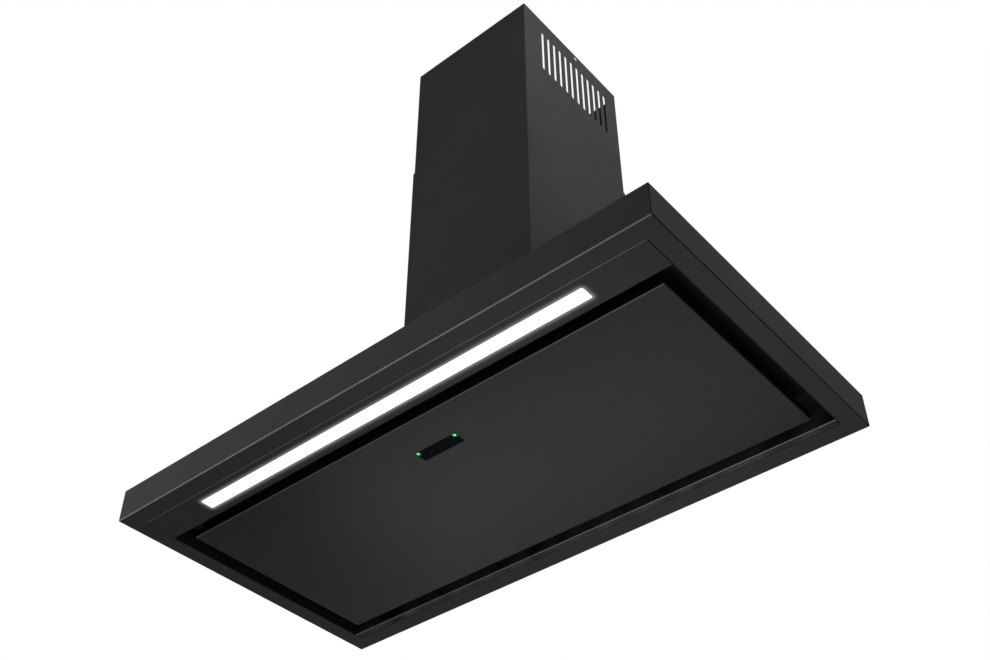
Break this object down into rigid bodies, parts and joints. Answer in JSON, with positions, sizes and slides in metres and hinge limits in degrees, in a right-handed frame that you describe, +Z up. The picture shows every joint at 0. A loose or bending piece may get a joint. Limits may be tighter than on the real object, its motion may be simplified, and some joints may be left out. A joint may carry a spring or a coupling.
{
  "type": "chimney range hood",
  "caption": "Wall-hung box canopy hood with a hinged edge-suction panel, front light strip, grease filters, blower with duct collar and a telescopic duct cover.",
  "frame": {"origin": "on the wall plane, in the middle of the hood's width, at the height of the canopy's underside", "axes": "+X to the right of a person who faces the hood, +Y into the wall, +Z up along the duct cover"},
  "size_m": [0.9, 0.48, 0.94],
  "materials": {
    "black_steel": "satin black powder coat over faint brushing",
    "black_inner_steel": "matt black paint",
    "black_cover_steel": "satin black powder coat",
    "black_panel_steel": "smooth satin black paint",
    "black_plastic": "moulded, fine texture",
    "grey_plastic": "moulded",
    "white_plastic": "moulded",
    "opal_acrylic": "opal, lit from behind",
    "dark_glass": "polished dark acrylic",
    "green_lens": "clear green light pipe, lit",
    "mill_aluminium": "extruded, mill finish",
    "filter_aluminium": "rolled, satin",
    "filter_mesh": "expanded mesh",
    "zinc_steel": "galvanised sheet",
    "steel_pin": "bright steel",
    "cast_motor": "cast",
    "circuit_board": "solder mask"
  },
  "bodies": {
    "hood": {"canopy_shell": "black_steel", "light_rail": "black_steel", "back_rail": "black_steel", "recess_tray": "black_inner_steel", "light_channel": "mill_aluminium", "led_board": "circuit_board", "light_diffuser": "opal_acrylic", "led_driver": "white_plastic", "control_box": "black_plastic", "control_lid": "black_plastic", "control_board": "circuit_board", "hinge_brackets": "zinc_steel", "hinge_pins": "steel_pin", "panel_catches": "black_plastic", "filter_frame_left": "filter_aluminium", "filter_frame_right": "filter_aluminium", "filter_mesh_left": "filter_mesh", "filter_mesh_right": "filter_mesh", "blower_cabinet": "zinc_steel", "scroll_left": "grey_plastic", "scroll_right": "grey_plastic", "scroll_screws": "steel_pin", "inlet_guard": "steel_pin", "motor_bracket": "zinc_steel", "motor_body": "cast_motor", "capacitor": "white_plastic", "outlet_spigot": "black_plastic", "flap_pin": "steel_pin", "cable_gland": "black_plastic", "lower_chimney": "black_cover_steel", "chimney_clips": "zinc_steel", "hood_screws": "steel_pin"},
    "rotor": {"impeller": "grey_plastic", "motor_shaft": "steel_pin"},
    "left_flap": {"flap_left": "black_plastic"},
    "right_flap": {"flap_right": "black_plastic"},
    "cover_top": {"upper_chimney": "black_cover_steel", "chimney_bracket": "black_inner_steel", "chimney_screws": "steel_pin"},
    "panel": {"panel_skin": "black_panel_steel", "panel_brace": "zinc_steel", "hinge_leaves": "zinc_steel", "catch_strikers": "steel_pin", "sensor_window": "dark_glass", "sensor_housing": "black_plastic", "sensor_board": "circuit_board", "indicator_lenses": "green_lens"},
    "left_latch": {"filter_latch_left": "black_plastic"},
    "right_latch": {"filter_latch_right": "black_plastic"}
  },
  "joints": [
    {"name": "panel_hinge", "type": "hinge", "parent": "hood", "child": "panel", "pos_m": [0, -0.066, 0.018], "axis": [1, 0, 0], "range_deg": [0, 85]},
    {"name": "cover_slide", "type": "slide", "parent": "hood", "child": "cover_top", "axis": [0, 0, 1], "range_m": [-0.2, 0.15]},
    {"name": "rotor_spin", "type": "hinge", "parent": "hood", "child": "rotor", "pos_m": [0, -0.1057, 0.16], "axis": [1, 0, 0], "continuous": true},
    {"name": "left_flap_hinge", "type": "hinge", "parent": "hood", "child": "left_flap", "pos_m": [0, -0.1557, 0.322], "axis": [0, 1, 0], "range_deg": [0, 78]},
    {"name": "right_flap_hinge", "type": "hinge", "parent": "hood", "child": "right_flap", "pos_m": [0, -0.1557, 0.322], "axis": [0, -1, 0], "range_deg": [0, 78]},
    {"name": "left_latch_slide", "type": "slide", "parent": "hood", "child": "left_latch", "axis": [0, 1, 0], "range_m": [0, 0.005], "stiffness_N_per_m": 300, "springref_m": -0.005},
    {"name": "right_latch_slide", "type": "slide", "parent": "hood", "child": "right_latch", "axis": [0, 1, 0], "range_m": [0, 0.005], "stiffness_N_per_m": 300, "springref_m": -0.005}
  ]
}
